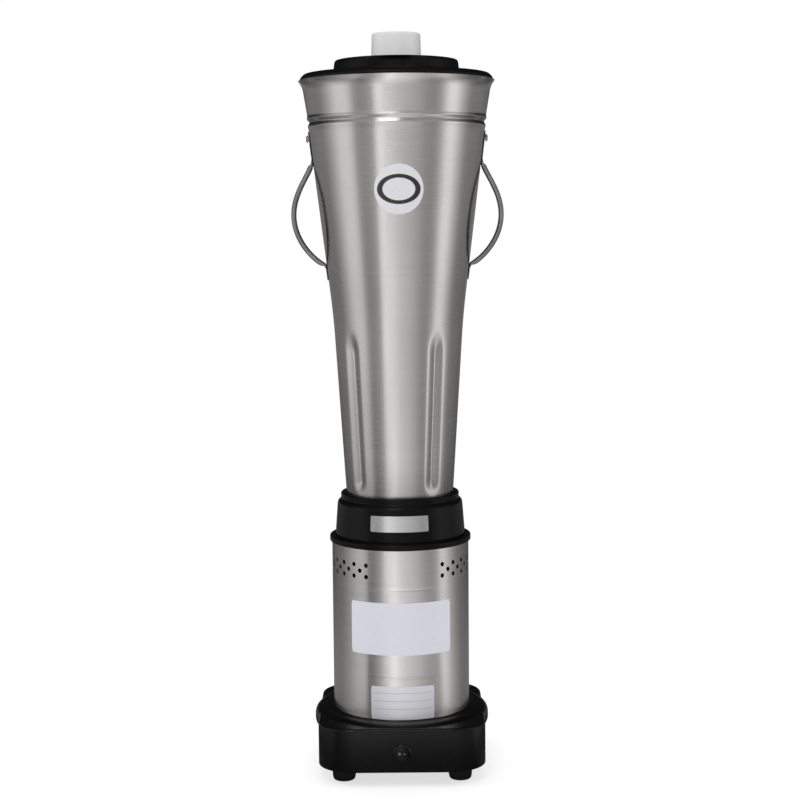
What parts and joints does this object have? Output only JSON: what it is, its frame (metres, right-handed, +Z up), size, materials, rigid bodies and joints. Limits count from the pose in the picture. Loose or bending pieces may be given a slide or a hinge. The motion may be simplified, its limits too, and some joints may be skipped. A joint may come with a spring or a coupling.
{
  "type": "industrial blender",
  "caption": "Tall steel jar with pressed flutes, side handles and a lift-off lid on a round motor housing; a dog coupling drives its blade.",
  "frame": {"origin": "on the floor, under the common axis of the jar and the motor", "axes": "+Z up along the jar's axis, -Y towards the front with the switch, +X towards the right handle"},
  "size_m": [0.2422, 0.2222, 0.8418],
  "materials": {
    "steel": "fine brushed stainless steel",
    "dark_steel": "darker satin steel",
    "black_moulding": "satin black moulding",
    "black_rubber": "matt black rubber",
    "white_plastic": "off-white satin plastic",
    "cast_aluminium": "cast and machined",
    "bronze": "sintered bronze",
    "stack_iron": "laminated iron",
    "winding": "varnished copper wire",
    "nylon": "dark moulded nylon",
    "capacitor_can": "plain grey can"
  },
  "bodies": {
    "base_unit": {"base": "black_moulding", "bottom_cover": "black_moulding", "front_left_foot": "black_rubber", "front_right_foot": "black_rubber", "rear_left_foot": "black_rubber", "rear_right_foot": "black_rubber", "front_left_foot_screw": "dark_steel", "front_right_foot_screw": "dark_steel", "rear_left_foot_screw": "dark_steel", "rear_right_foot_screw": "dark_steel", "switch_bezel": "black_moulding", "cord_gland": "black_rubber", "capacitor": "capacitor_can", "capacitor_clip": "dark_steel", "motor_housing": "steel", "collar": "black_moulding", "seat_ring": "black_rubber", "collar_post_1": "cast_aluminium", "collar_post_2": "cast_aluminium", "collar_post_3": "cast_aluminium", "collar_screw_1": "dark_steel", "collar_screw_2": "dark_steel", "collar_screw_3": "dark_steel", "lower_bracket": "cast_aluminium", "upper_bracket": "cast_aluminium", "lower_bearing": "dark_steel", "upper_bearing": "dark_steel", "tie_bolt_1": "dark_steel", "tie_bolt_2": "dark_steel", "tie_bolt_3": "dark_steel", "tie_bolt_4": "dark_steel", "stator": "stack_iron", "lower_winding": "winding", "upper_winding": "winding"},
    "rotor_unit": {"rotor": "stack_iron", "motor_shaft": "steel", "fan": "nylon", "drive_coupling": "nylon"},
    "jar_unit": {"jar": "steel", "left_handle": "dark_steel", "right_handle": "dark_steel", "left_handle_rivet": "dark_steel", "right_handle_rivet": "dark_steel", "bearing_housing": "cast_aluminium", "bearing_ring_nut": "steel", "shaft_seal": "black_rubber", "upper_bush": "bronze", "lower_bush": "bronze"},
    "blade_unit": {"blade": "steel", "blade_shaft": "steel", "blade_nut": "steel", "driven_coupling": "nylon"},
    "lid_unit": {"lid": "black_rubber"},
    "cap_unit": {"lid_cap": "white_plastic"},
    "rocker_unit": {"switch_rocker": "black_moulding"}
  },
  "joints": [
    {"name": "motor_spin", "type": "hinge", "parent": "base_unit", "child": "rotor_unit", "pos_m": [0, 0, 0.2], "axis": [0, 0, 1], "continuous": true},
    {"name": "jar_lift", "type": "slide", "parent": "base_unit", "child": "jar_unit", "axis": [0, 0, 1], "range_m": [0, 0.1]},
    {"name": "blade_spin", "type": "hinge", "parent": "jar_unit", "child": "blade_unit", "pos_m": [0, 0, 0.3], "axis": [0, 0, 1], "continuous": true},
    {"name": "lid_lift", "type": "slide", "parent": "jar_unit", "child": "lid_unit", "axis": [0, 0, 1], "range_m": [0, 0.06]},
    {"name": "cap_lift", "type": "slide", "parent": "lid_unit", "child": "cap_unit", "axis": [0, 0, 1], "range_m": [0, 0.05]},
    {"name": "switch_rock", "type": "hinge", "parent": "base_unit", "child": "rocker_unit", "pos_m": [0, -0.102, 0.04], "axis": [0, 0, 1], "range_deg": [0, 20]}
  ],
  "couplings": [
    {"joint": "blade_spin", "follows": "motor_spin", "ratio": 1}
  ]
}
